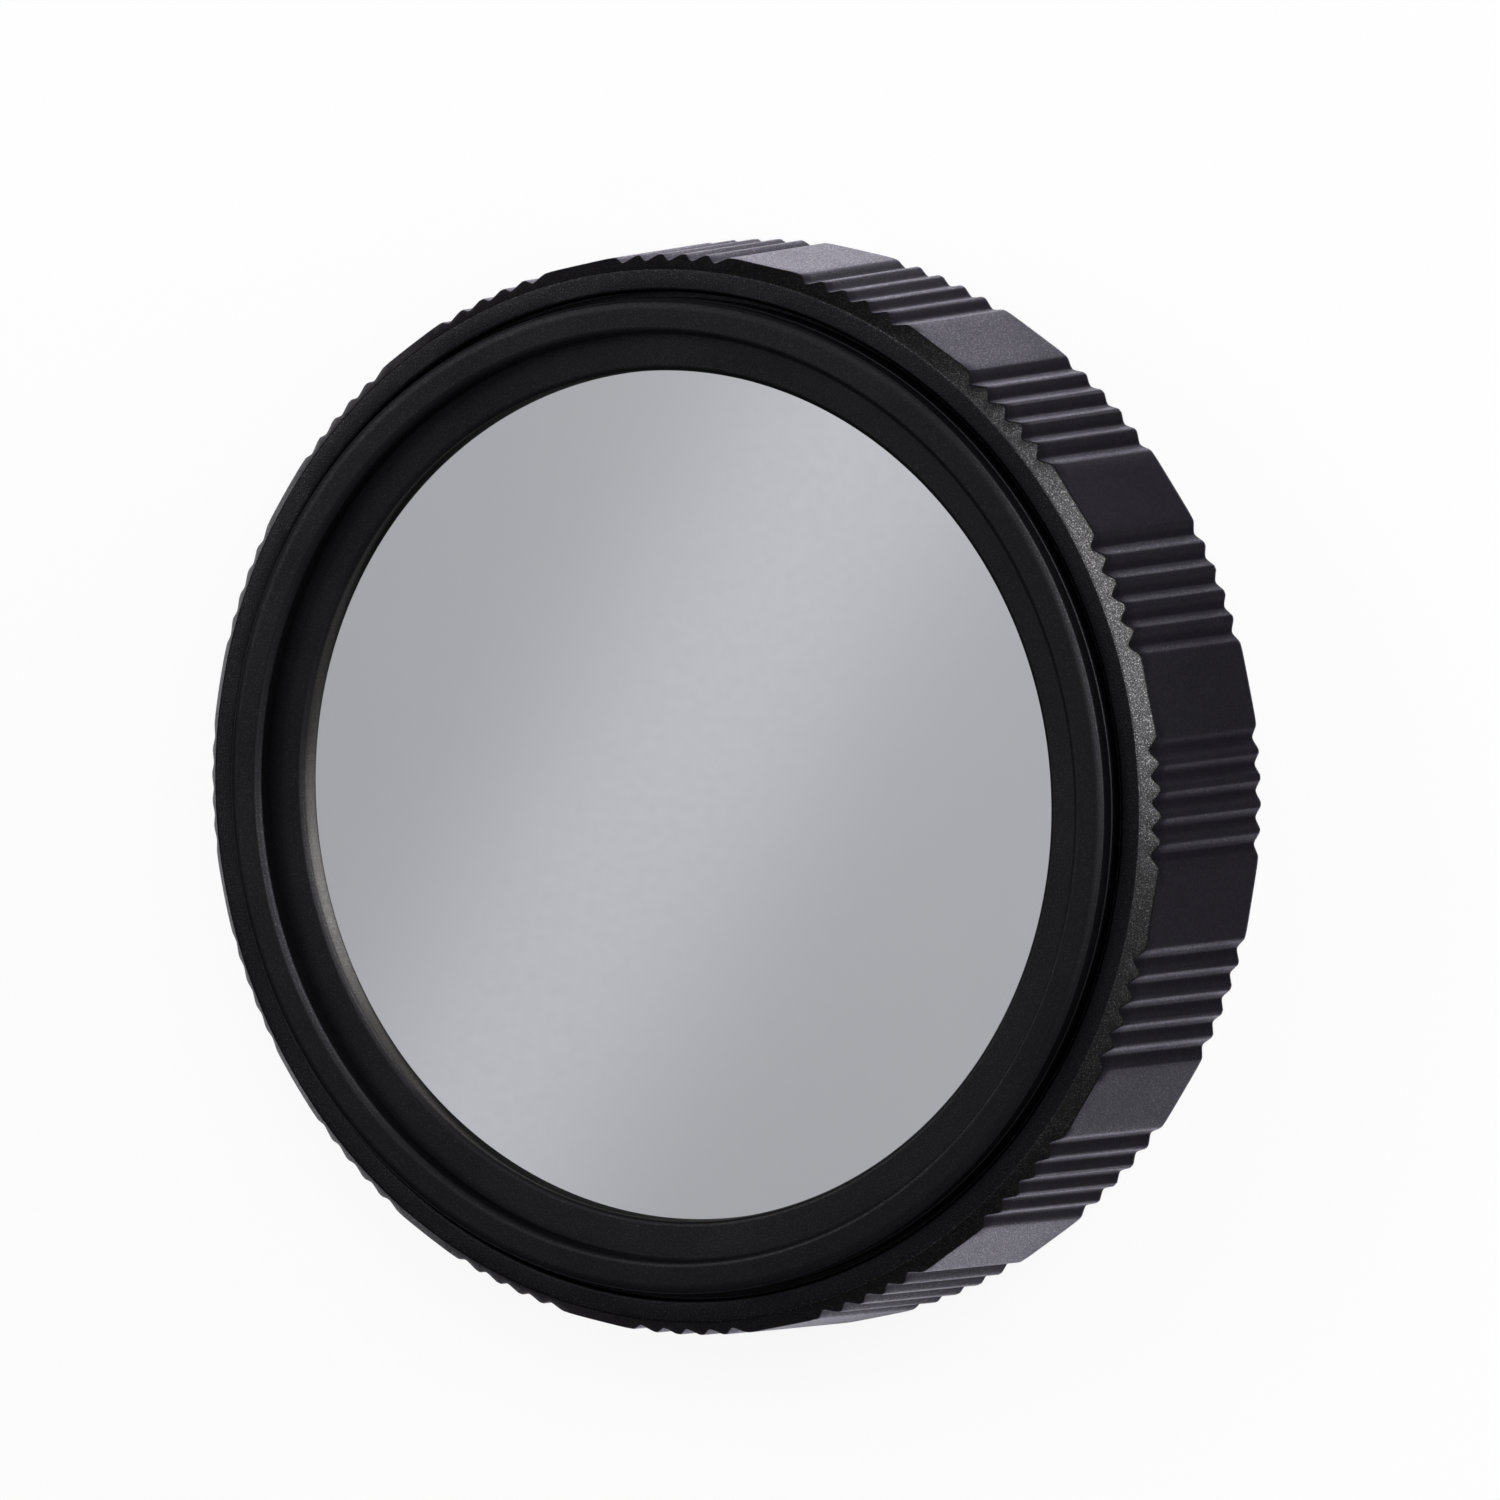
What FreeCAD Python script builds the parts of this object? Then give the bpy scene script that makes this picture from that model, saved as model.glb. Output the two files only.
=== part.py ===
"""Screw-on solar filter for the front of a small telescope.

A knurled grip ring carries a turned cell. The cell holds a coated glass disc behind its raised lip,
backed by a gasket and a threaded retainer. A lock ring behind the cell's flange keeps it in the grip ring,
and the open thread behind that screws onto the telescope.

Lengths are in millimetres and angles in degrees. The axis is Z, the filter lies on its rear rim at Z = 0
and the glass looks up.
"""
import FreeCAD, Part
import os
import Sketcher

DIMENSIONS = [
    ("overall_height", "15"),
    # aperture over the glass, the recess around it and the raised lip around that
    ("aperture_radius", "26.05"),
    ("aperture_drop", "1"),
    ("aperture_ease", "0.26"),
    ("recess_width", "2.04"),
    ("recess_depth", "1.4"),
    ("lip_width", "2.1"),
    ("lip_height", "1.35"),
    ("lip_chamfer", "0.3"),
    # outside of the cell, below the lip
    ("step_drop", "1.1"),
    ("step_width", "0.1"),
    ("flange_overlap", "0.35"),
    ("flange_thickness", "2.4"),
    ("skirt_wall", "1.95"),
    ("skirt_overhang", "0.25"),
    # grip ring
    ("cell_gap", "0.3"),
    ("opening_chamfer", "0.2"),
    ("face_width", "1.35"),
    ("front_chamfer_width", "0.95"),
    ("front_chamfer_height", "1.2"),
    ("grip_flare", "0.45"),
    ("web_thickness", "1.35"),
    ("nose_step", "0.45"),
    ("nose_margin", "0.2"),
    ("mouth_chamfer", "0.4"),
    # knurl: groups of grooves with a flat facet between each two groups
    ("group_count", "16"),
    ("grooves_per_group", "5"),
    ("groove_pitch", "2.8"),
    ("groove_depth", "0.4"),
    ("crest_overlap", "0.03"),
    ("cut_margin", "1"),
    # glass and what holds it
    ("glass_thickness", "2.5"),
    ("glass_overlap", "1.45"),
    ("glass_clearance", "0.15"),
    ("gasket_thickness", "0.5"),
    ("gasket_width", "1.3"),
    ("retainer_height", "1.75"),
    ("retainer_width", "1.6"),
    ("lock_height", "2"),
    ("lock_gap", "0.3"),
    ("slot_width", "1.4"),
    ("slot_depth", "0.8"),
    ("thread_clearance", "0.05"),
]

DERIVED = [
    # levels, from the front down
    ("lip_chamfer_level", "overall_height - lip_chamfer"),
    ("grip_height", "overall_height - lip_height"),
    ("floor_level", "overall_height - recess_depth"),
    ("seat_level", "floor_level - aperture_drop"),
    ("aperture_ease_level", "floor_level - aperture_ease"),
    ("step_top_level", "overall_height - step_drop"),
    ("step_foot_level", "step_top_level - step_width"),
    ("opening_chamfer_level", "grip_height - opening_chamfer"),
    ("chamfer_level", "grip_height - front_chamfer_height"),
    ("web_level", "grip_height - web_thickness"),
    ("flange_rear", "web_level - flange_thickness"),
    ("lock_rear", "flange_rear - lock_height"),
    ("glass_rear", "seat_level - glass_thickness"),
    ("gasket_rear", "glass_rear - gasket_thickness"),
    ("retainer_rear", "gasket_rear - retainer_height"),
    ("skirt_rear", "min(retainer_rear; lock_rear) - skirt_overhang"),
    ("nose_level", "skirt_rear - nose_margin"),
    # radii, from the aperture outwards
    ("floor_inner_radius", "aperture_radius + aperture_ease"),
    ("lip_inner_radius", "floor_inner_radius + recess_width"),
    ("lip_inner_edge", "lip_inner_radius + lip_chamfer"),
    ("lip_outer_radius", "lip_inner_radius + lip_width"),
    ("lip_outer_edge", "lip_outer_radius - lip_chamfer"),
    ("spigot_radius", "lip_outer_radius + step_width"),
    ("opening_radius", "spigot_radius + cell_gap"),
    ("opening_edge", "opening_radius + opening_chamfer"),
    ("flange_radius", "opening_radius + flange_overlap"),
    ("cell_bore_radius", "flange_radius + thread_clearance"),
    ("socket_radius", "cell_bore_radius + nose_step"),
    ("mouth_radius", "socket_radius + mouth_chamfer"),
    ("face_radius", "opening_radius + face_width"),
    ("grip_front_radius", "face_radius + front_chamfer_width"),
    ("grip_rear_radius", "grip_front_radius + grip_flare"),
    # radii of the glass and its holders
    ("glass_radius", "aperture_radius + glass_overlap"),
    ("pocket_radius", "glass_radius + glass_clearance"),
    ("skirt_radius", "pocket_radius + skirt_wall"),
    ("gasket_radius", "glass_radius - glass_clearance"),
    ("gasket_inner_radius", "gasket_radius - gasket_width"),
    ("retainer_radius", "pocket_radius - thread_clearance"),
    ("retainer_inner_radius", "retainer_radius - retainer_width"),
    ("lock_inner_radius", "skirt_radius + lock_gap"),
    ("lock_radius", "cell_bore_radius - thread_clearance"),
    # knurl layout: the wall flares by flare_slope for each millimetre towards the rear
    ("group_angle", "360 / group_count"),
    ("group_spread", "groove_pitch * (grooves_per_group - 1)"),
    ("facet_angle", "group_angle - groove_pitch * grooves_per_group"),
    ("facet_turn", "(group_spread + group_angle) / 2"),
    ("flare_slope", "grip_flare / chamfer_level"),
    ("cut_top", "grip_height + cut_margin"),
    ("cut_height", "grip_height + 2 * cut_margin"),
    ("cut_wall_radius", "grip_rear_radius + flare_slope * cut_margin"),
    ("groove_root", "cut_wall_radius - groove_depth"),
    ("crest_half", "cut_wall_radius * tan(groove_pitch * 1deg / 2) + crest_overlap"),
    ("groove_outside", "cut_wall_radius + groove_depth"),
    ("outside_half", "2 * crest_half"),
    ("facet_cosine", "cos(facet_angle * 1deg / 2)"),
    ("facet_low", "grip_rear_radius * facet_cosine + flare_slope * cut_margin"),
    ("facet_high", "facet_low - flare_slope * cut_height"),
    ("facet_outside", "cut_wall_radius + cut_margin"),
    ("facet_cut_width", "grip_rear_radius * tan(facet_angle * 1deg) * 1.4"),
    # spanner slots run right across a ring
    ("slot_half", "slot_width / 2"),
    ("slot_reach", "lock_radius + cut_margin"),
]

doc = FreeCAD.newDocument("solar_filter")
sheet = doc.addObject("Spreadsheet::Sheet", "Sizes")
for row, (alias, text) in enumerate(DIMENSIONS + DERIVED, start=1):
    sheet.set(f"A{row}", alias)
    sheet.set(f"B{row}", text if row <= len(DIMENSIONS) else f"={text}")
    sheet.setAlias(f"B{row}", alias)
doc.recompute()


def size(alias):
    """Value of a named size; a leading minus puts it on the far side of the axis."""
    if alias.startswith("-"):
        return -size(alias[1:])
    return 0.0 if alias == "0" else float(sheet.get(alias))


def new_body(label):
    body = doc.addObject("PartDesign::Body", label)
    body.Label = label
    body.Placement = FreeCAD.Placement()
    return body


def origin_part(body, role):
    return next(item for item in body.Origin.OriginFeatures if item.Role == role)


def place_corner(sketch, line, direction, alias):
    """Tie one coordinate of a line's start point to a named size."""
    if alias == "0":
        axis = -2 if direction == "DistanceX" else -1
        sketch.addConstraint(Sketcher.Constraint("PointOnObject", line, 1, axis))
        return
    if alias.startswith("-"):
        constraint = Sketcher.Constraint(direction, line, 1, -1, 1, -size(alias))
    else:
        constraint = Sketcher.Constraint(direction, -1, 1, line, 1, size(alias))
    number = sketch.addConstraint(constraint)
    sketch.setExpression(f"Constraints[{number}]", "Sizes." + alias.lstrip("-"))


def outline(body, name, role, corners):
    """Closed straight-sided outline through corners given as pairs of named sizes."""
    sketch = body.newObject("Sketcher::SketchObject", name)
    sketch.AttachmentSupport = [(origin_part(body, role), "")]
    sketch.MapMode = "FlatFace"
    points = [FreeCAD.Vector(size(x), size(y), 0) for x, y in corners]
    for start, end in zip(points, points[1:] + points[:1]):
        sketch.addGeometry(Part.LineSegment(start, end))
    for line, (x, y) in enumerate(corners):
        following = (line + 1) % len(corners)
        sketch.addConstraint(Sketcher.Constraint("Coincident", line, 2, following, 1))
        place_corner(sketch, line, "DistanceX", x)
        place_corner(sketch, line, "DistanceY", y)
    return sketch


def turned(body, name, corners):
    """Solid of revolution about Z from an outline given as (radius, level) corners."""
    sketch = outline(body, name + "_outline", "XZ_Plane", corners)
    solid = body.newObject("PartDesign::Revolution", name)
    solid.Profile = sketch
    solid.ReferenceAxis = (sketch, ["V_Axis"])
    solid.Angle = 360
    doc.recompute()
    return sketch


def cut(body, feature):
    """Recompute, and make sure that the feature took material away."""
    before = body.Shape.Volume
    body.Tip = feature
    doc.recompute()
    if not body.Shape.Volume < before - 1e-3:
        raise RuntimeError(f"{feature.Name} removes nothing")


def spanner_slots(body, name, level):
    """Slots across the rear face of a ring, opposite each other, for a pin spanner."""
    corners = [
        ("slot_reach", "slot_half"),
        ("-slot_reach", "slot_half"),
        ("-slot_reach", "-slot_half"),
        ("slot_reach", "-slot_half"),
    ]
    sketch = outline(body, name + "_outline", "XY_Plane", corners)
    sketch.setExpression("AttachmentOffset.Base.z", "Sizes." + level)
    slots = body.newObject("PartDesign::Pocket", name)
    slots.Profile = sketch
    slots.Reversed = True
    slots.setExpression("Length", "Sizes.slot_depth")
    cut(body, slots)


def polar(body, name, occurrences, angle):
    """Copies about the part's axis, spread over the whole of the given angle."""
    pattern = body.newObject("PartDesign::PolarPattern", name)
    pattern.Axis = (origin_part(body, "Z_Axis"), [""])
    pattern.setExpression("Occurrences", "Sizes." + occurrences)
    if angle:
        pattern.setExpression("Angle", f"Sizes.{angle} * 1deg")
    else:
        pattern.Angle = 360
    return pattern


# Grip ring: a turned, slightly flared blank with the thread socket behind and an opening for the lip in front.
grip = new_body("grip_ring")
grip_outline = turned(grip, "grip_blank", [
    ("mouth_radius", "0"),
    ("grip_rear_radius", "0"),
    ("grip_front_radius", "chamfer_level"),
    ("face_radius", "grip_height"),
    ("opening_edge", "grip_height"),
    ("opening_radius", "opening_chamfer_level"),
    ("opening_radius", "web_level"),
    ("cell_bore_radius", "web_level"),
    ("cell_bore_radius", "nose_level"),
    ("socket_radius", "nose_level"),
    ("socket_radius", "mouth_chamfer"),
])
FLARED_WALL = "Edge2"

# One V groove runs along the flared wall and out through the front chamfer.
groove_outline = outline(grip, "groove_outline", "XY_Plane", [
    ("groove_root", "0"),
    ("groove_outside", "outside_half"),
    ("groove_outside", "-outside_half"),
])
groove_outline.setExpression("AttachmentOffset.Base.z", "-Sizes.cut_margin")
groove = grip.newObject("PartDesign::Pocket", "groove")
groove.Profile = groove_outline
groove.ReferenceAxis = (grip_outline, [FLARED_WALL])
groove.AlongSketchNormal = True
groove.Reversed = True
groove.setExpression("Length", "Sizes.cut_height")
cut(grip, groove)

# The groove is repeated within a group, and the group around the ring.
knurl = grip.newObject("PartDesign::MultiTransform", "knurl")
knurl.Originals = [groove]
within_group = polar(grip, "grooves_in_group", "grooves_per_group", "group_spread")
around_ring = polar(grip, "groups_around_ring", "group_count", None)
knurl.Transformations = [within_group, around_ring]
cut(grip, knurl)

# A flat facet, milled parallel to the flared wall, lies between each two groups.
facet_outline = outline(grip, "facet_outline", "XZ_Plane", [
    ("facet_low", "-cut_margin"),
    ("facet_outside", "-cut_margin"),
    ("facet_outside", "cut_top"),
    ("facet_high", "cut_top"),
])
facet_outline.AttachmentOffset = FreeCAD.Placement(
    FreeCAD.Vector(), FreeCAD.Rotation(FreeCAD.Vector(0, 1, 0), size("facet_turn")))
facet_outline.setExpression("AttachmentOffset.Rotation.Angle", "Sizes.facet_turn * 1deg")
facet = grip.newObject("PartDesign::Pocket", "facet")
facet.Profile = facet_outline
facet.SideType = "Symmetric"
facet.setExpression("Length", "Sizes.facet_cut_width")
cut(grip, facet)
facets = polar(grip, "facets", "group_count", None)
facets.Originals = [facet]
cut(grip, facets)

# The middle groove of a group is turned to face +X.
grip.Placement = FreeCAD.Placement(
    FreeCAD.Vector(), FreeCAD.Rotation(FreeCAD.Vector(0, 0, 1), -size("group_spread") / 2))
grip.setExpression("Placement.Rotation.Angle", "-Sizes.group_spread * 1deg / 2")

# Cell: the raised lip, the recess with the wall around the glass, the flange and the threaded skirt.
cell = new_body("filter_cell")
turned(cell, "cell_turning", [
    ("aperture_radius", "seat_level"),
    ("aperture_radius", "aperture_ease_level"),
    ("floor_inner_radius", "floor_level"),
    ("lip_inner_radius", "floor_level"),
    ("lip_inner_radius", "lip_chamfer_level"),
    ("lip_inner_edge", "overall_height"),
    ("lip_outer_edge", "overall_height"),
    ("lip_outer_radius", "lip_chamfer_level"),
    ("lip_outer_radius", "step_top_level"),
    ("spigot_radius", "step_foot_level"),
    ("spigot_radius", "web_level"),
    ("flange_radius", "web_level"),
    ("flange_radius", "flange_rear"),
    ("skirt_radius", "flange_rear"),
    ("skirt_radius", "skirt_rear"),
    ("pocket_radius", "skirt_rear"),
    ("pocket_radius", "seat_level"),
])

# Coated glass disc.
glass = new_body("filter_glass")
turned(glass, "glass_disc", [
    ("0", "glass_rear"),
    ("glass_radius", "glass_rear"),
    ("glass_radius", "seat_level"),
    ("0", "seat_level"),
])

# Soft washer between the glass and its retainer.
gasket = new_body("glass_gasket")
turned(gasket, "gasket_washer", [
    ("gasket_inner_radius", "gasket_rear"),
    ("gasket_radius", "gasket_rear"),
    ("gasket_radius", "glass_rear"),
    ("gasket_inner_radius", "glass_rear"),
])

# Threaded retainer that presses the glass against its seat.
retainer = new_body("glass_retainer")
turned(retainer, "retainer_ring", [
    ("retainer_inner_radius", "retainer_rear"),
    ("retainer_radius", "retainer_rear"),
    ("retainer_radius", "gasket_rear"),
    ("retainer_inner_radius", "gasket_rear"),
])
spanner_slots(retainer, "retainer_slots", "retainer_rear")

# Threaded ring that locks the cell's flange against the front web of the grip ring.
lock = new_body("cell_lock_ring")
turned(lock, "lock_ring", [
    ("lock_inner_radius", "lock_rear"),
    ("lock_radius", "lock_rear"),
    ("lock_radius", "flange_rear"),
    ("lock_inner_radius", "flange_rear"),
])
spanner_slots(lock, "lock_slots", "lock_rear")

doc.recompute()
for item in doc.Objects:
    if "Invalid" in item.State or "Error" in item.State:
        raise RuntimeError(f"{item.Name} did not rebuild: {item.State}")
os.makedirs("parts", exist_ok=True)
for body in (grip, cell, glass, gasket, retainer, lock):
    if body.Shape.isNull() or not body.Shape.isValid() or len(body.Shape.Solids) != 1:
        raise RuntimeError(f"{body.Label} is not one sound solid")
    body.Shape.exportStep(f"parts/{body.Label}.step")
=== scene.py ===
"""Looks of the telescope solar filter: finely turned and knurled pieces, finishes, studio and camera."""
from math import cos, exp, hypot, pi, radians, sin, tan, tau

import bpy
from mathutils import Matrix, Vector


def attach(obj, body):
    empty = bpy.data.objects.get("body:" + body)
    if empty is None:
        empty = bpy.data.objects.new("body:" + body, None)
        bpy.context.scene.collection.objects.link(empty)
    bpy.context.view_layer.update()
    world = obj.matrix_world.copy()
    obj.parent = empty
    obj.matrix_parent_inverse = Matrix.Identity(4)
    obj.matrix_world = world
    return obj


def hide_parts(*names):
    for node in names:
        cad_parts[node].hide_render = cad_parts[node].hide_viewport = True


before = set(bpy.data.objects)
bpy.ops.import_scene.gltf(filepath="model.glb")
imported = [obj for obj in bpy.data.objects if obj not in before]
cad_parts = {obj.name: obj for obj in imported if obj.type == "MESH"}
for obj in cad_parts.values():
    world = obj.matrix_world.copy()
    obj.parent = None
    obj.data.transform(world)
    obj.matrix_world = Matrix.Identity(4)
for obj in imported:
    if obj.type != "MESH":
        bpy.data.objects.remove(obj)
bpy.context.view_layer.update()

MM = 0.001

# Sizes are in millimetres: radii, levels above the rear rim, and roundings finer than in the solids.
# Cell.
TOP = 15.0
LIP_OUTER = 30.45
LIP_INNER = 28.35
# The lip rolls off towards its outer edge: (distance in from the edge, drop, rounding) at each corner.
LIP_ROLL = ((0.0, 0.26, 0.2), (0.12, 0.12, 0.25), (0.42, 0.0, 1.0))
LIP_CHAMFER = 0.3
LIP_EASE = 0.42
# The recess floor is RECESS_DISH above its level at the lip and as much below it at the glass.
RECESS_LEVEL = 13.6
RECESS_DISH = 0.06
APERTURE = 26.05
APERTURE_ROUND = 0.4
GLASS_LEVEL = 12.6
POCKET = 27.65
SPIGOT = 30.51
STEP_TOP = 13.82
STEP_FOOT = 13.78
STEP_EASE = 0.01
FLANGE = 31.2
FLANGE_REAR = 9.9
SKIRT = 29.6
SKIRT_REAR = 7.6
SKIRT_EASE = 0.1
CELL_ARC_STEPS = 5

# Grip ring. FACE_FALL, FLARE and CONE are slopes of its front face, its wall and its front chamfer.
FACE_LEVEL = 13.65
FACE_EDGE = 32.2
FACE_EASE = 0.25
FACE_FALL = 0.05
OPENING = 30.85
OPENING_ROUND = 0.32
WEB_LEVEL = 12.3
CELL_BORE = 31.25
NOSE_LEVEL = 7.4
NOSE_EASE = 0.05
CHAMFER_LEVEL = 12.45
GRIP_FRONT = 33.15
GRIP_REAR = 33.6
FLARE = (GRIP_REAR - GRIP_FRONT) / CHAMFER_LEVEL
CONE = (GRIP_FRONT - FACE_EDGE) / (FACE_LEVEL - CHAMFER_LEVEL)
# The rear break is rounded by rings at these (inward, upward) shares of it; others follow up the wall.
REAR_BREAK = 0.25
BREAK_SHARES = ((1.0, 0.0), (0.45, 0.2), (0.12, 0.55))
WALL_LEVELS = (REAR_BREAK, 0.4, 4.0, 8.0, 11.4)
# Rings lie below, on and above the edge where the wall runs out through the chamfer. The edge is eased,
# and the ring above it stays BELOW_FACE.
BELOW_RUN_OUT = 0.12
ABOVE_RUN_OUT = 0.1
BELOW_FACE = 0.2
RUN_OUT_EASE = 0.02

# Socket and the ridge of its thread.
MOUTH = 32.15
MOUTH_DEPTH = 0.4
THREAD_CREST = 31.7
THREAD_ROOT = 32.05
THREAD_PITCH = 0.75
THREAD_MARGIN = 0.75
RIDGE_SINK = 0.05
RIDGE_FOOT = THREAD_ROOT + RIDGE_SINK
RIDGE_FOOT_HALF = 0.33
RIDGE_CREST_HALF = 0.06
STEPS_PER_TURN = 144
LEAD_IN_STEPS = 24

# Knurl, with its angles in degrees. The depth is that of a sharp groove, before the roundings.
GROUPS = 16
GROOVES = 5
GROOVE_PITCH = 2.8
GROOVE_DEPTH = 0.49
CREST_ROUNDING = 0.3
FACET_ROUNDING = 0.18
VALLEY_ROUNDING = 0.22
HALF_GROUP = 180 / GROUPS
FACET_HALF = HALF_GROUP - GROOVE_PITCH * GROOVES / 2
GROOVE_MIDDLES = [(groove - (GROOVES - 1) / 2) * GROOVE_PITCH for groove in range(GROOVES)]
# Where the wall is sampled, from the middle of a groove and from the middle of a facet.
GROOVE_ANGLES = (0.05, 0.12, 0.35, 0.7, 0.98, 1.14, 1.26, 1.34)
FACET_ANGLES = (0.0, 1.2, 2.4, 3.3, 3.8, 4.0, 4.1, 4.18)

SHARP_ANGLE = radians(31)
SEGMENTS = 360


# Mesh helpers.
def eased(corners, steps=4):
    """Closed profile through (radius, level, rounding) corners, with an arc at each rounded corner."""
    points = []
    for number, (r, z, rounding) in enumerate(corners):
        corner = Vector((r, z))
        if rounding == 0:
            points.append(corner)
            continue
        before = Vector(corners[number - 1][:2])
        after = Vector(corners[(number + 1) % len(corners)][:2])
        back, ahead = (before - corner).normalized(), (after - corner).normalized()
        half = back.angle(ahead) / 2
        centre = corner + (back + ahead).normalized() * (rounding / sin(half))
        start = corner + back * (rounding / tan(half)) - centre
        end = corner + ahead * (rounding / tan(half)) - centre
        sweep = start.angle_signed(end)
        for step in range(steps + 1):
            turn = -sweep * step / steps
            rotated = Vector((
                start.x * cos(turn) - start.y * sin(turn),
                start.x * sin(turn) + start.y * cos(turn),
            ))
            points.append(centre + rotated)
    return [(point.x, point.y) for point in points]


def finished(name, vertices, faces):
    """Object from millimetre vertices, smooth within its faces and crisp along its edges."""
    mesh = bpy.data.meshes.new(name)
    mesh.from_pydata([(x * MM, y * MM, z * MM) for x, y, z in vertices], [], faces)
    mesh.validate()
    mesh.shade_smooth()
    mesh.set_sharp_from_angle(angle=SHARP_ANGLE)
    piece = bpy.data.objects.new(name, mesh)
    bpy.context.collection.objects.link(piece)
    weighted = piece.modifiers.new("flat_faces_stay_flat", "WEIGHTED_NORMAL")
    weighted.keep_sharp = True
    return piece


def ring_grid(name, rings):
    """Closed body from rings of equal length, each joined to the next and the last to the first."""
    count = len(rings[0])
    vertices = [point for ring in rings for point in ring]
    faces = []
    for row in range(len(rings)):
        following = (row + 1) % len(rings)
        for column in range(count):
            beside = (column + 1) % count
            faces.append((
                row * count + column,
                row * count + beside,
                following * count + beside,
                following * count + column,
            ))
    return finished(name, vertices, faces)


def turned(name, profile):
    """Turned body from a closed (radius, level) profile that runs outwards along its rear side."""
    turns = [tau * number / SEGMENTS for number in range(SEGMENTS)]
    return ring_grid(name, [[(r * cos(turn), r * sin(turn), z) for turn in turns] for r, z in profile])


# Grip ring: the knurled wall is worked out angle by angle, with rounded crests and valleys.
def softer(a, b, rounding):
    """The lower of two heights, with the corner between them rounded off."""
    return (a + b - hypot(a - b, rounding)) / 2


ROOT = GRIP_REAR - GROOVE_DEPTH
CREST_HALF = GRIP_REAR * tan(radians(GROOVE_PITCH / 2))
# A rounding lowers an edge by half its size. The flanks make up for all of it, and the facets for half.
FLANK = (GROOVE_DEPTH + CREST_ROUNDING / 2) / CREST_HALF
FACET_LEVEL = GRIP_REAR * cos(radians(FACET_HALF)) + FACET_ROUNDING / 4


def groove_radius(offset):
    """Wall radius in a groove, by the angle from its middle."""
    angle = radians(offset)
    across = hypot(sin(angle), VALLEY_ROUNDING / GRIP_REAR)
    return ROOT / (cos(angle) - FLANK * across)


def wall_radius(angle):
    """Radius of the knurled wall at the rear rim, by the angle from the middle of a group."""
    angle = (angle + HALF_GROUP) % (2 * HALF_GROUP) - HALF_GROUP
    nearest, second = sorted(GROOVE_MIDDLES, key=lambda middle: abs(angle - middle))[:2]
    radius = groove_radius(angle - nearest)
    to_facet = HALF_GROUP - abs(angle)
    if to_facet >= FACET_HALF:
        radius = softer(radius, groove_radius(angle - second), CREST_ROUNDING)
    if to_facet < FACET_HALF + GROOVE_PITCH:
        radius = softer(radius, FACET_LEVEL / cos(radians(to_facet)), FACET_ROUNDING)
    return min(radius, GRIP_REAR)


def knurl_angles():
    """Angles around the ring, close together where the wall turns sharply."""
    group = [-GROOVES * GROOVE_PITCH / 2]
    for middle in GROOVE_MIDDLES:
        group += [middle, middle + GROOVE_PITCH / 2]
        group += [middle + side * offset for offset in GROOVE_ANGLES for side in (-1, 1)]
    group += [HALF_GROUP - offset for offset in FACET_ANGLES]
    group += [offset - HALF_GROUP for offset in FACET_ANGLES[1:]]
    return sorted(number * 360 / GROUPS + angle for number in range(GROUPS) for angle in group)


def grip_rings():
    """Rings of the grip ring: up the knurled wall, over the front face and down through the socket."""
    angles = knurl_angles()
    walls = [wall_radius(angle) for angle in angles]
    turns = [(cos(radians(angle)), sin(radians(angle))) for angle in angles]

    def ring(spot):
        """One closed ring; spot gives (radius, level) from the wall's radius at the rim."""
        points = []
        for wall, (cosine, sine) in zip(walls, turns):
            r, z = spot(wall)
            points.append((r * cosine, r * sine, z))
        return points

    def on_break(inward, upward):
        return lambda wall: (wall - REAR_BREAK * inward, REAR_BREAK * upward)

    def on_wall(z):
        return lambda wall: (wall - FLARE * z, z)

    def run_out(wall):
        """Level at which the wall comes out through the front chamfer."""
        return (GRIP_FRONT + CONE * CHAMFER_LEVEL - wall) / (CONE - FLARE)

    def below_run_out(wall):
        z = run_out(wall) - BELOW_RUN_OUT
        return wall - FLARE * z, z

    def at_run_out(wall):
        z = run_out(wall)
        return wall - FLARE * z - RUN_OUT_EASE, z

    def above_run_out(wall):
        z = min(run_out(wall) + ABOVE_RUN_OUT, FACE_LEVEL - BELOW_FACE)
        return GRIP_FRONT - CONE * (z - CHAMFER_LEVEL), z

    def on_turned_part(r, z):
        return lambda wall: (r, z)

    # The front face falls a little towards the chamfer and meets its cone here.
    face_end = (FACE_EDGE - CONE * FACE_FALL * OPENING) / (1 - CONE * FACE_FALL)
    # The last corner only gives the first one the direction of the cone, so it is left out again.
    turned_part = eased([
        (face_end, FACE_LEVEL - FACE_FALL * (face_end - OPENING), FACE_EASE),
        (OPENING, FACE_LEVEL, OPENING_ROUND),
        (OPENING, WEB_LEVEL, 0),
        (CELL_BORE, WEB_LEVEL, 0),
        (CELL_BORE, NOSE_LEVEL, NOSE_EASE),
        (THREAD_ROOT, NOSE_LEVEL, 0),
        (THREAD_ROOT, MOUTH_DEPTH, 0),
        (MOUTH, 0.0, 0),
        (GRIP_FRONT, CHAMFER_LEVEL, 0),
    ])[:-1]
    spots = [
        *(on_break(inward, upward) for inward, upward in BREAK_SHARES),
        *(on_wall(z) for z in WALL_LEVELS),
        below_run_out,
        at_run_out,
        above_run_out,
        *(on_turned_part(r, z) for r, z in turned_part),
    ]
    return [ring(spot) for spot in spots]


grip = ring_grid("knurled_grip_ring", grip_rings())
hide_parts("grip_ring")
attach(grip, "root")


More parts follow.
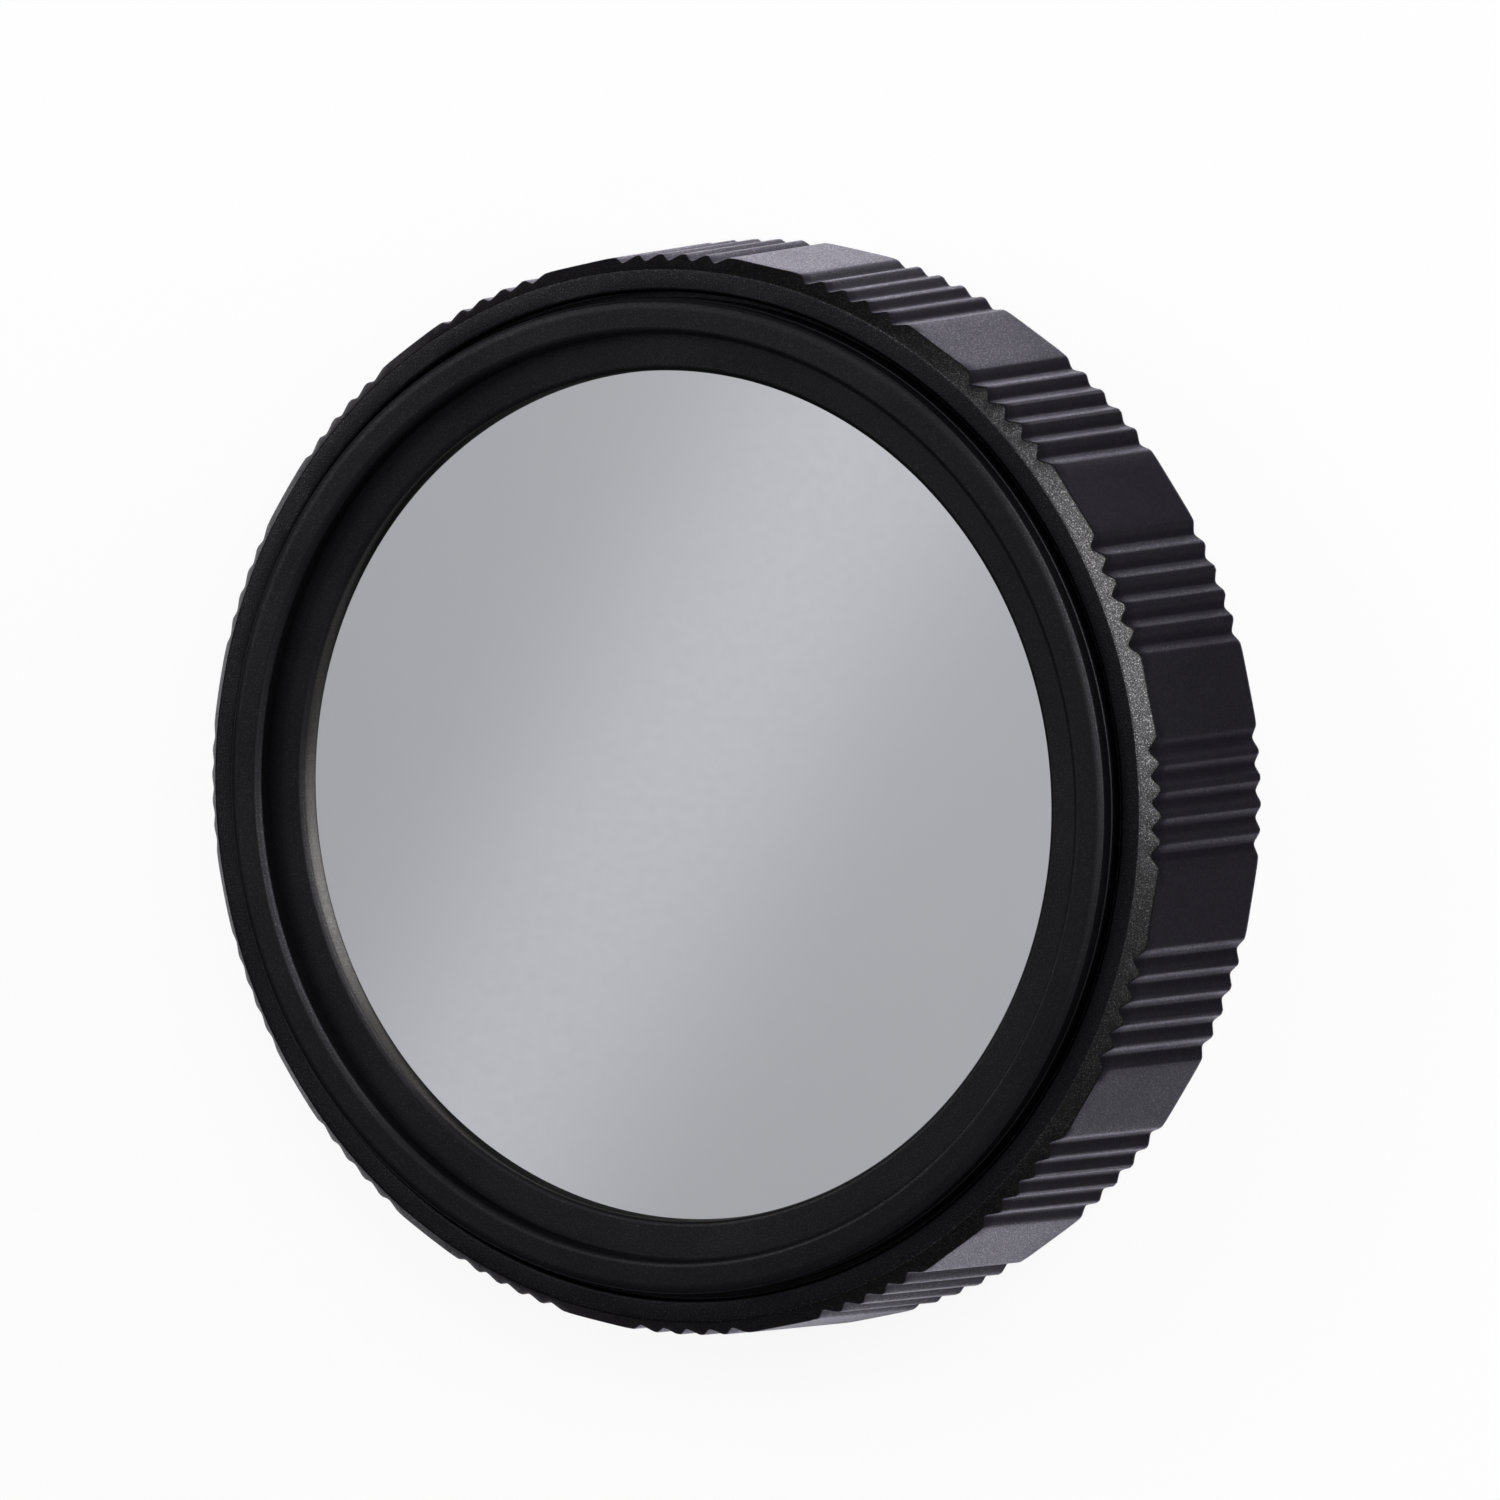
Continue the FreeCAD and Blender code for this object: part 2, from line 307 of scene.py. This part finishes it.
# Thread that screws onto the telescope.
def thread_ridge():
    """One ridge wound around the socket, growing out of its wall at both ends."""
    first, last = THREAD_MARGIN, NOSE_LEVEL - THREAD_MARGIN
    count = int((last - first) / THREAD_PITCH * STEPS_PER_TURN)
    shape = (
        (RIDGE_FOOT, -RIDGE_FOOT_HALF),
        (THREAD_CREST, -RIDGE_CREST_HALF),
        (THREAD_CREST, RIDGE_CREST_HALF),
        (RIDGE_FOOT, RIDGE_FOOT_HALF),
    )
    sides = len(shape)
    vertices, faces = [], []
    for number in range(count + 1):
        angle = tau * number / STEPS_PER_TURN
        grown = min(1.0, (number + 1) / LEAD_IN_STEPS, (count + 1 - number) / LEAD_IN_STEPS)
        for r, rise in shape:
            r = RIDGE_FOOT - (RIDGE_FOOT - r) * grown
            z = first + THREAD_PITCH * number / STEPS_PER_TURN + rise
            vertices.append((r * cos(angle), r * sin(angle), z))
    for number in range(count):
        for side in range(sides):
            a, b = number * sides + side, number * sides + (side + 1) % sides
            faces.append((a, b, b + sides, a + sides))
    faces.append(tuple(reversed(range(sides))))
    faces.append(tuple(count * sides + side for side in range(sides)))
    return finished("socket_thread", vertices, faces)


thread = thread_ridge()
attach(thread, "root")

# Cell: lip that rolls off outwards, recess, and a short wall with a rounded edge around the glass.
cell = turned("turned_filter_cell", eased([
    (APERTURE, GLASS_LEVEL, 0),
    (POCKET, GLASS_LEVEL, 0),
    (POCKET, SKIRT_REAR, SKIRT_EASE),
    (SKIRT, SKIRT_REAR, SKIRT_EASE),
    (SKIRT, FLANGE_REAR, 0),
    (FLANGE, FLANGE_REAR, 0),
    (FLANGE, WEB_LEVEL, 0),
    (SPIGOT, WEB_LEVEL, 0),
    (SPIGOT, STEP_FOOT, STEP_EASE),
    (LIP_OUTER, STEP_TOP, STEP_EASE),
    *((LIP_OUTER - inset, TOP - drop, rounding) for inset, drop, rounding in LIP_ROLL),
    (LIP_INNER + LIP_CHAMFER, TOP, LIP_EASE),
    (LIP_INNER, TOP - LIP_CHAMFER, LIP_EASE),
    (LIP_INNER, RECESS_LEVEL + RECESS_DISH, 0),
    (APERTURE, RECESS_LEVEL - RECESS_DISH, APERTURE_ROUND),
], steps=CELL_ARC_STEPS))
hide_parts("filter_cell")
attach(cell, "root")

# Finishes. Noise scales are per millimetre, and most of a noise lies between NOISE_LOW and NOISE_HIGH.
NOISE_LOW, NOISE_HIGH = 0.3, 0.7
GRAIN_SCALE = 10.5
CLOUD_SCALE = 0.12
TURNING_SCALE = 9.0
CLOUD_SHADES = (0.88, 1.12)
GLOSS_SPREAD = 0.06
# Sparkle of the grain, as (noise, change of reflectivity). Faces that turn away from SPARKLING_FROM to
# SPARKLING_TO go over to the second look's share of it, a painted glint on faces seen at a slant.
SPARKLE = ((0.36, -0.55), (0.5, -0.2), (0.6, 0.6), (0.69, 3.5))
SPARKLING_FROM, SPARKLING_TO = 0.57, 0.66
# Painted shade in the grooves of the knurled wall, by its height in shares of GROOVE_REACH, where 1 is
# its full radius.
GROOVE_REACH = 0.5
PAINTED_GROOVE_SHADES = ((0.1, 1.0), (0.2, 0.5), (0.5, 0.5), (0.8, 1.0))
# The second look, wear with a painted highlight, is gone CHAMFER_FADE inside the chamfer's cone and full
# at CHAMFER_FULL. Around the glass it is gone APERTURE_FADE outside it.
CHAMFER_FADE, CHAMFER_FULL = 0.07, 0.025
APERTURE_FADE = 0.12


class Finish:
    """Node material with one Principled shader and small helpers to wire its detail."""

    def __init__(self, name):
        self.material = bpy.data.materials.new(name)
        self.material.use_nodes = True
        self.tree = self.material.node_tree
        self.shader = self.tree.nodes["Principled BSDF"]
        self.place = self.node("ShaderNodeTexCoord").outputs["Object"]

    def node(self, kind, **settings):
        made = self.tree.nodes.new(kind)
        for key, value in settings.items():
            setattr(made, key, value)
        return made

    def link(self, source, target):
        self.tree.links.new(source, target)

    def set(self, **values):
        for name, value in values.items():
            self.shader.inputs[name.replace("_", " ")].default_value = value

    def give(self, name, source):
        self.link(source, self.shader.inputs[name])

    def surface(self, shader):
        """Puts another shader in place of the Principled one."""
        self.link(shader, self.tree.nodes["Material Output"].inputs["Surface"])

    def noise(self, per_mm, detail=2.0, roughness=0.5, vector=None):
        texture = self.node("ShaderNodeTexNoise")
        texture.inputs["Scale"].default_value = per_mm / MM
        texture.inputs["Detail"].default_value = detail
        texture.inputs["Roughness"].default_value = roughness
        self.link(vector or self.place, texture.inputs["Vector"])
        return texture.outputs["Fac"]

    def spread(self, value, low, high, out_low, out_high):
        mapped = self.node("ShaderNodeMapRange")
        limits = {"From Min": low, "From Max": high, "To Min": out_low, "To Max": out_high}
        for name, number in limits.items():
            mapped.inputs[name].default_value = number
        self.link(value, mapped.inputs["Value"])
        return mapped.outputs["Result"]

    def varied(self, noise, out_low, out_high):
        return self.spread(noise, NOISE_LOW, NOISE_HIGH, out_low, out_high)

    def ramp(self, value, stops):
        ramp = self.node("ShaderNodeValToRGB")
        elements = ramp.color_ramp.elements
        while len(elements) < len(stops):
            elements.new(0.5)
        for element, (position, colour) in zip(elements, stops):
            element.position = position
            element.color = (*colour, 1.0)
        self.link(value, ramp.inputs["Fac"])
        return ramp.outputs["Color"]

    def calculate(self, operation, a, b):
        math_node = self.node("ShaderNodeMath", operation=operation)
        for socket, value in zip(math_node.inputs, (a, b)):
            if isinstance(value, (int, float)):
                socket.default_value = value
            else:
                self.link(value, socket)
        return math_node.outputs["Value"]

    def product(self, *colours):
        result = colours[0]
        for colour in colours[1:]:
            both = self.node("ShaderNodeVectorMath", operation="MULTIPLY")
            self.link(result, both.inputs[0])
            self.link(colour, both.inputs[1])
            result = both.outputs["Vector"]
        return result

    def blend(self, share, first, second):
        mix = self.node("ShaderNodeMix", data_type="RGBA")
        self.link(share, mix.inputs["Factor"])
        self.link(first, mix.inputs["A"])
        self.link(second, mix.inputs["B"])
        return mix.outputs["Result"]

    def bump(self, height, depth_mm, under=None):
        bump = self.node("ShaderNodeBump")
        bump.inputs["Strength"].default_value = 1.0
        bump.inputs["Distance"].default_value = depth_mm * MM
        self.link(height, bump.inputs["Height"])
        if under:
            self.link(under, bump.inputs["Normal"])
        return bump.outputs["Normal"]

    def axes(self):
        """Outputs X, Y and Z of the place on the object."""
        parts = self.node("ShaderNodeSeparateXYZ")
        self.link(self.place, parts.inputs["Vector"])
        return parts.outputs

    def radius(self):
        """Distance from the part's axis, in metres."""
        flat = self.node("ShaderNodeVectorMath", operation="MULTIPLY")
        flat.inputs[1].default_value = (1, 1, 0)
        self.link(self.place, flat.inputs[0])
        length = self.node("ShaderNodeVectorMath", operation="LENGTH")
        self.link(flat.outputs["Vector"], length.inputs[0])
        return length.outputs["Value"]

    def coned_radius(self, slope):
        """Radius of the surface when it is carried down to the rear rim along a cone of this slope."""
        widening = self.calculate("MULTIPLY", self.axes()["Z"], slope)
        return self.calculate("ADD", self.radius(), widening)

    def on_chamfer(self):
        """1 on the grip ring's front chamfer and 0 on the walls that run out through it."""
        edge = GRIP_FRONT + CONE * CHAMFER_LEVEL
        low, high = (edge - CHAMFER_FADE) * MM, (edge - CHAMFER_FULL) * MM
        return self.spread(self.coned_radius(CONE), low, high, 0.0, 1.0)

    def painted_groove_shade(self):
        """Painted shade on the knurled wall: darker low in the grooves, 1 on facets, crests and turned
        faces.
        """
        low, high = (GRIP_REAR - GROOVE_REACH) * MM, GRIP_REAR * MM
        height = self.spread(self.coned_radius(FLARE), low, high, 0.0, 1.0)
        return self.ramp(height, [(stop, [shade] * 3) for stop, shade in PAINTED_GROOVE_SHADES])

    def around_glass(self):
        """1 on the short wall around the glass and 0 outside its rounded edge."""
        return self.spread(self.radius(), APERTURE * MM, (APERTURE + APERTURE_FADE) * MM, 1.0, 0.0)


def anodised(name, body, worn_with_painted_highlight, where, grain_depth, turning_depth, painted_shade=None):
    """Black anodising over a fine blasted grain, and a second look of wear with a painted highlight in
    it.

    Each look gives sheen stops (how far the surface turns away, reflectivity), a colour, the share of
    speckle in it, the tint at grazing angles and a gloss. The stops are a painted sheen where they rise
    and painted shade where they dip. Faces of the body that turn well away sparkle as the second look
    does, a painted glint. A painted shade, where one is given, darkens the body's look. The depths of
    the grain and the turning marks are in millimetres.
    """
    finish = Finish(name)
    finish.set(Metallic=1.0)
    grain = finish.noise(GRAIN_SCALE, detail=2.0, roughness=0.6)
    cloud = finish.noise(CLOUD_SCALE, detail=3.0)
    wear_and_highlight_share = where(finish)
    facing = finish.node("ShaderNodeLayerWeight").outputs["Facing"]

    # Base colour by how far the surface turns from the camera: painted sheen where the stops rise,
    # painted shade where they dip.
    def sheen(look):
        return finish.ramp(
            facing, [(turn, [level * part for part in look["colour"]]) for turn, level in look["sheen"]]
        )

    def sparkle(look):
        return finish.ramp(
            grain, [(stop, [1 + look["speckle"] * change] * 3) for stop, change in SPARKLE]
        )

    # The body's painted sheen and shade, times the painted groove shade where one is given.
    body_painted_light = finish.product(sheen(body), painted_shade(finish)) if painted_shade else sheen(body)
    # Faces turned well away from the camera get the second look's sparkle, a painted glint.
    turned_away = finish.spread(facing, SPARKLING_FROM, SPARKLING_TO, 0.0, 1.0)
    sparkling = finish.calculate("MAXIMUM", wear_and_highlight_share, turned_away)
    # The look of wear, with its painted highlight, takes over on the chamfer and on the wall around the
    # glass.
    finish.give("Base Color", finish.product(
        finish.blend(wear_and_highlight_share, body_painted_light, sheen(worn_with_painted_highlight)),
        finish.blend(sparkling, sparkle(body), sparkle(worn_with_painted_highlight)),
        finish.varied(cloud, *CLOUD_SHADES),
    ))
    grazing = finish.ramp(wear_and_highlight_share, [(0.0, body["grazing"]), (1.0, worn_with_painted_highlight["grazing"])])
    finish.give("Specular Tint", grazing)
    even = finish.spread(wear_and_highlight_share, 0.0, 1.0, body["gloss"], worn_with_painted_highlight["gloss"])
    uneven = finish.varied(grain, -GLOSS_SPREAD, GLOSS_SPREAD)
    finish.give("Roughness", finish.calculate("SUBTRACT", even, uneven))
    around = finish.node("ShaderNodeCombineXYZ")
    finish.link(finish.radius(), around.inputs["X"])
    marks = finish.noise(TURNING_SCALE, detail=1.0, vector=around.outputs["Vector"])
    normal = finish.bump(marks, turning_depth)
    finish.give("Normal", finish.bump(grain, grain_depth, under=normal))
    return finish.material


def coated_glass():
    """Metal-coated solar glass: a slightly cool mirror with a soft haze and a faintly uneven film."""
    thin, thick = (0.9, 0.905, 0.94), (0.92, 0.925, 0.955)
    finish = Finish("coated_solar_glass")
    finish.set(Metallic=1.0, IOR=1.5)
    film = finish.noise(0.05, detail=3.0, roughness=0.55)
    haze = finish.noise(1.2, detail=4.0, roughness=0.65)
    finish.give("Base Color", finish.ramp(film, [(NOISE_LOW, thin), (NOISE_HIGH, thick)]))
    finish.give("Roughness", finish.varied(haze, 0.05, 0.08))
    finish.give("Normal", finish.bump(film, 0.0004))
    return finish.material


def rubber():
    """Matt black gasket rubber with a fine moulded texture."""
    dark, light = (0.012, 0.012, 0.012), (0.022, 0.022, 0.021)
    finish = Finish("gasket_rubber")
    grain = finish.noise(3.0, detail=3.0)
    finish.give("Base Color", finish.ramp(grain, [(NOISE_LOW, dark), (NOISE_HIGH, light)]))
    finish.give("Roughness", finish.varied(grain, 0.72, 0.88))
    finish.give("Normal", finish.bump(grain, 0.02))
    return finish.material


# Sheen stops are painted sheen where they rise and painted shade where they dip. The second look is wear
# with a painted highlight, on the grip's chamfer and on the cell's wall around the glass.
GRIP_FINISH = anodised(
    "blasted_black_anodising",
    body={
        "sheen": (
            (0.0, 0.019), (0.15, 0.019), (0.3, 0.01), (0.46, 0.009), (0.51, 0.012),
            (0.56, 0.014), (0.64, 0.092), (0.72, 0.185), (0.87, 0.46),
        ),
        "colour": (1.0, 0.97, 1.1), "speckle": 0.45, "grazing": (0.625, 0.61, 0.665), "gloss": 0.38,
    },
    worn_with_painted_highlight={
        "sheen": (
            (0.0, 0.043), (0.13, 0.041), (0.25, 0.014), (0.36, 0.01),
            (0.62, 0.008), (0.7, 0.04), (0.85, 0.2),
        ),
        "colour": (1.0, 0.98, 1.01), "speckle": 0.75, "grazing": (0.52, 0.51, 0.53), "gloss": 0.38,
    },
    # The knurled wall gets a painted shade, darker low in the grooves.
    where=Finish.on_chamfer, grain_depth=0.02, turning_depth=0.0005, painted_shade=Finish.painted_groove_shade,
)
CELL_FINISH = anodised(
    "turned_black_anodising",
    body={
        "sheen": (
            (0.0, 0.0205), (0.16, 0.0205), (0.32, 0.0125), (0.46, 0.0125),
            (0.52, 0.022), (0.72, 0.017), (0.9, 0.03),
        ),
        "colour": (1.0, 0.97, 1.09), "speckle": 0.25, "grazing": (0.52, 0.51, 0.54), "gloss": 0.45,
    },
    worn_with_painted_highlight={
        "sheen": (
            (0.0, 0.024), (0.22, 0.026), (0.42, 0.058), (0.5, 0.076), (0.57, 0.073),
            (0.61, 0.036), (0.66, 0.008), (0.9, 0.003),
        ),
        "colour": (1.03, 0.98, 0.93), "speckle": 0.25, "grazing": (0.5, 0.5, 0.5), "gloss": 0.45,
    },
    where=Finish.around_glass, grain_depth=0.008, turning_depth=0.001,
)
RING_FINISH = anodised(
    "matt_black_anodising",
    body={
        "sheen": ((0.0, 0.025), (0.56, 0.025), (0.72, 0.08), (0.87, 0.2)),
        "colour": (1.0, 0.97, 1.06), "speckle": 0.4, "grazing": (0.6, 0.59, 0.62), "gloss": 0.5,
    },
    worn_with_painted_highlight={
        "sheen": ((0.0, 0.036), (0.56, 0.036), (0.72, 0.095), (0.87, 0.23)),
        "colour": (1.0, 0.98, 1.02), "speckle": 0.4, "grazing": (0.62, 0.61, 0.63), "gloss": 0.44,
    },
    where=Finish.around_glass, grain_depth=0.015, turning_depth=0.003,
)


def dress(piece, material):
    piece.data.materials.clear()
    piece.data.materials.append(material)


dress(grip, GRIP_FINISH)
dress(thread, GRIP_FINISH)
dress(cell, CELL_FINISH)
for node_name, node_finish in (
    ("filter_glass", coated_glass()),
    ("glass_gasket", rubber()),
    ("glass_retainer", RING_FINISH),
    ("cell_lock_ring", RING_FINISH),
):
    for material_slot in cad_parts[node_name].material_slots:
        material_slot.link = "OBJECT"
        material_slot.material = node_finish

# Camera: above the glass and well to its right, as in the photograph. Its place is in units of REACH,
# from the middle of the front.
REACH = 33 * MM
YAW, PITCH, ROLL = radians(28.682), radians(3.391), radians(-0.977)
CAMERA_DISTANCE = 40
CAMERA_RIGHT = 0.16499
CAMERA_UP = 0.08843
SENSOR_WIDTH = 36
FOCAL_PIXELS = 21604
PHOTO_PIXELS = 1500
CLIP_END = 20

toward = Vector((sin(YAW) * cos(PITCH), sin(PITCH), cos(YAW) * cos(PITCH)))
level_right = Vector((0, 1, 0)).cross(toward).normalized()
level_up = toward.cross(level_right)
right = level_right * cos(ROLL) + level_up * sin(ROLL)
up = level_up * cos(ROLL) - level_right * sin(ROLL)
camera_data = bpy.data.cameras.new("camera")
camera_data.sensor_width = SENSOR_WIDTH
camera_data.lens = SENSOR_WIDTH * FOCAL_PIXELS / PHOTO_PIXELS
camera_data.clip_end = CLIP_END
camera = bpy.data.objects.new("camera", camera_data)
camera_place = Vector((0, 0, TOP * MM)) + REACH * (
    CAMERA_DISTANCE * toward + CAMERA_RIGHT * right + CAMERA_UP * up
)
camera_turn = Matrix((right, up, toward)).transposed().to_4x4()
camera.matrix_world = Matrix.Translation(camera_place) @ camera_turn
bpy.context.collection.objects.link(camera)
bpy.context.scene.camera = camera

# Studio, in metres. The floor lies just below the rear rim, and shows the camera and the mirrored views
# a share of plain white.
FLOOR_LEVEL = -0.02 * MM
FLOOR_HALF = 6
FLOOR_COLOUR = (0.9, 0.9, 0.9)
FLOOR_ROUGHNESS = 0.9
WHITE_SHARE = 0.9
MIRRORED_SHARE = 0.1
AIR = (0.2, 0.2015, 0.207)


def square_sheet(name, level, half):
    """Level square around the axis that isn't part of the object."""
    corners = [(x * half, y * half, level) for x, y in ((-1, -1), (1, -1), (1, 1), (-1, 1))]
    mesh = bpy.data.meshes.new(name)
    mesh.from_pydata(corners, [], [(0, 1, 2, 3)])
    sheet = bpy.data.objects.new(name, mesh)
    bpy.context.collection.objects.link(sheet)
    return sheet


def floor_finish():
    """Pale matt floor, near white for the camera."""
    finish = Finish("white_floor")
    finish.set(Base_Color=(*FLOOR_COLOUR, 1), Roughness=FLOOR_ROUGHNESS, Specular_IOR_Level=0.0)
    ray = finish.node("ShaderNodeLightPath").outputs
    mirrored_view = finish.calculate("MAXIMUM", ray["Is Glossy Ray"], ray["Is Transmission Ray"])
    share = finish.calculate(
        "MAXIMUM",
        finish.calculate("MULTIPLY", ray["Is Camera Ray"], WHITE_SHARE),
        finish.calculate("MULTIPLY", mirrored_view, MIRRORED_SHARE),
    )
    white = finish.node("ShaderNodeEmission")
    mixed = finish.node("ShaderNodeMixShader")
    finish.link(share, mixed.inputs["Fac"])
    finish.link(finish.shader.outputs["BSDF"], mixed.inputs[1])
    finish.link(white.outputs["Emission"], mixed.inputs[2])
    finish.surface(mixed.outputs["Shader"])
    return finish.material


floor = square_sheet("floor", FLOOR_LEVEL, FLOOR_HALF)
dress(floor, floor_finish())

world = bpy.data.worlds.new("studio_air")
world.use_nodes = True
world.node_tree.nodes["Background"].inputs["Color"].default_value = (*AIR, 1)
bpy.context.scene.world = world

# A hanging scrim with a soft strip of light behind it is what the glass mirrors. The strip crosses the
# scrim at an angle, and the scrim itself brightens to one side.
MIDDLE = Vector((0, 0, GLASS_LEVEL * MM))
SCRIM_DISTANCE = 0.6
SCRIM_HALF = 0.055
SCRIM_COLOUR = (0.995, 1.0, 1.025)
SCRIM_LEVEL = 0.418
SCRIM_SLOPE_X, SCRIM_SLOPE_Y = 0.55, 0.45
STRIP_ANGLE = radians(60.6)
STRIP_WIDTH = 0.013
STRIP_SHIFT = -0.0015
STRIP_EDGE = 2.6
STRIP_LEVEL = 0.142


def scrim_finish():
    """Even glow that slopes across the scrim, with the soft strip added."""
    finish = Finish("scrim_with_strip_light")
    place = finish.axes()

    def slanting(x_share, y_share):
        return (
            finish.calculate("MULTIPLY", place["X"], x_share),
            finish.calculate("MULTIPLY", place["Y"], y_share),
        )

    across = finish.calculate(
        "SUBTRACT", *slanting(sin(STRIP_ANGLE) / STRIP_WIDTH, cos(STRIP_ANGLE) / STRIP_WIDTH)
    )
    from_strip = finish.calculate("SUBTRACT", across, STRIP_SHIFT / STRIP_WIDTH)
    aside = finish.calculate("ABSOLUTE", from_strip, 0.0)
    strip = finish.calculate("POWER", exp(-1), finish.calculate("POWER", aside, STRIP_EDGE))
    slope = finish.calculate("ADD", *slanting(SCRIM_SLOPE_X, SCRIM_SLOPE_Y))
    strength = finish.calculate(
        "ADD",
        finish.calculate("MULTIPLY", strip, STRIP_LEVEL),
        finish.calculate("ADD", slope, SCRIM_LEVEL),
    )
    emission = finish.node("ShaderNodeEmission")
    emission.inputs["Color"].default_value = (*SCRIM_COLOUR, 1)
    finish.link(strength, emission.inputs["Strength"])
    finish.surface(emission.outputs["Emission"])
    return finish.material


mirrored = Matrix.Diagonal((1, 1, -1))
sight = (MIDDLE - camera.location).normalized()
scrim = square_sheet("scrim", 0, SCRIM_HALF)
scrim_turn = Matrix((mirrored @ right, mirrored @ up, mirrored @ right.cross(up))).transposed().to_4x4()
scrim.matrix_world = Matrix.Translation(MIDDLE + SCRIM_DISTANCE * (mirrored @ sight)) @ scrim_turn
scrim.visible_camera = False
scrim.visible_shadow = False
dress(scrim, scrim_finish())

# Softboxes: angle around from +X and height above the horizon in degrees, distance, width, height and
# radiance.
SOFTBOXES = {
    "key_softbox": (21, 57, 0.65, 0.3, 0.3, 6.5),
    "low_side_softbox": (26, 12, 0.62, 0.7, 0.24, 6.5),
    "far_side_softbox": (155, 38, 0.42, 0.27, 0.2, 3.25),
    "top_softbox": (95, 50, 0.95, 0.7, 0.7, 0.72),
    "bottom_softbox": (265, 50, 0.95, 0.7, 0.7, 0.1),
}


def softbox(name, azimuth, elevation, distance, width, height, radiance):
    """Rectangular lamp of a given brightness that faces the middle of the glass."""
    around, above = radians(azimuth), radians(elevation)
    away = Vector((cos(above) * cos(around), cos(above) * sin(around), sin(above)))
    data = bpy.data.lights.new(name, "AREA")
    data.shape = "RECTANGLE"
    data.size, data.size_y = width, height
    data.energy = radiance * pi * width * height
    lamp = bpy.data.objects.new(name, data)
    lamp.location = MIDDLE + distance * away
    lamp.rotation_mode = "QUATERNION"
    lamp.rotation_quaternion = (-away).to_track_quat("-Z", "Y")
    lamp.visible_camera = False
    bpy.context.collection.objects.link(lamp)


for box_name, box in SOFTBOXES.items():
    softbox(box_name, *box)

bpy.context.scene.view_settings.view_transform = "Standard"
